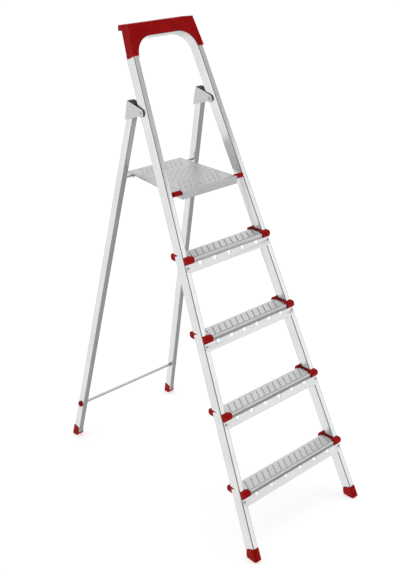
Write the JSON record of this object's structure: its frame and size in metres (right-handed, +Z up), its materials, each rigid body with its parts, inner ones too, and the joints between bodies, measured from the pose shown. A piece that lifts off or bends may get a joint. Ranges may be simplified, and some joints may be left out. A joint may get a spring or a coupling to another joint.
{
  "type": "step ladder",
  "caption": "Folding step ladder with a bent tube front frame, perforated treads, a tilting platform, a hinged rear frame and a handrail cap.",
  "frame": {"origin": "on the floor, in the middle of the base", "axes": "+Z up, -Y towards the climbing side, +X to the climber's right"},
  "size_m": [0.5008, 0.9861, 1.5384],
  "materials": {
    "frame_tube": "satin, as drawn",
    "bracket_sheet": "bright zinc",
    "tread_sheet": "satin, as rolled",
    "brace_sheet": "satin, as rolled",
    "rivet_steel": "satin",
    "red_plastic": "fine moulded grain",
    "nylon": "plain"
  },
  "bodies": {
    "front_frame": {"brace_rivet_1_left": "rivet_steel", "brace_rivet_1_right": "rivet_steel", "brace_rivet_2_left": "rivet_steel", "brace_rivet_2_right": "rivet_steel", "brace_rivet_3_left": "rivet_steel", "brace_rivet_3_right": "rivet_steel", "brace_rivet_4_left": "rivet_steel", "brace_rivet_4_right": "rivet_steel", "front_foot_left": "red_plastic", "front_foot_right": "red_plastic", "front_frame": "frame_tube", "handrail_cap": "red_plastic", "hinge_pin_left": "rivet_steel", "hinge_pin_right": "rivet_steel", "hinge_washer_left_inner": "nylon", "hinge_washer_left_outer": "nylon", "hinge_washer_right_inner": "nylon", "hinge_washer_right_outer": "nylon", "platform_axle": "rivet_steel", "platform_spacer_left": "red_plastic", "platform_spacer_right": "red_plastic", "tread_1": "tread_sheet", "tread_2": "tread_sheet", "tread_3": "tread_sheet", "tread_4": "tread_sheet", "tread_brace_1": "brace_sheet", "tread_brace_2": "brace_sheet", "tread_brace_3": "brace_sheet", "tread_brace_4": "brace_sheet", "tread_cap_1_left": "red_plastic", "tread_cap_1_right": "red_plastic", "tread_cap_2_left": "red_plastic", "tread_cap_2_right": "red_plastic", "tread_cap_3_left": "red_plastic", "tread_cap_3_right": "red_plastic", "tread_cap_4_left": "red_plastic", "tread_cap_4_right": "red_plastic", "tread_rivet_1_left": "rivet_steel", "tread_rivet_1_right": "rivet_steel", "tread_rivet_2_left": "rivet_steel", "tread_rivet_2_right": "rivet_steel", "tread_rivet_3_left": "rivet_steel", "tread_rivet_3_right": "rivet_steel", "tread_rivet_4_left": "rivet_steel", "tread_rivet_4_right": "rivet_steel"},
    "rear_frame": {"cross_bar": "rivet_steel", "cross_bar_plug_left": "red_plastic", "cross_bar_plug_right": "red_plastic", "hinge_bracket_left": "bracket_sheet", "hinge_bracket_right": "bracket_sheet", "platform_rest_rod": "rivet_steel", "rear_foot_left": "red_plastic", "rear_foot_right": "red_plastic", "rear_leg_left": "frame_tube", "rear_leg_right": "frame_tube"},
    "platform": {"platform": "tread_sheet"}
  },
  "joints": [
    {"name": "rear_frame_fold", "type": "hinge", "parent": "front_frame", "child": "rear_frame", "pos_m": [0, 0.13492, 1.28748], "axis": [-1, 0, 0], "range_deg": [0, 37]},
    {"name": "platform_tilt", "type": "hinge", "parent": "front_frame", "child": "platform", "pos_m": [0, 0.00534, 1.056], "axis": [1, 0, 0], "range_deg": [0, 65]}
  ],
  "couplings": [
    {"joint": "platform_tilt", "follows": "rear_frame_fold", "ratio": 1.75}
  ]
}
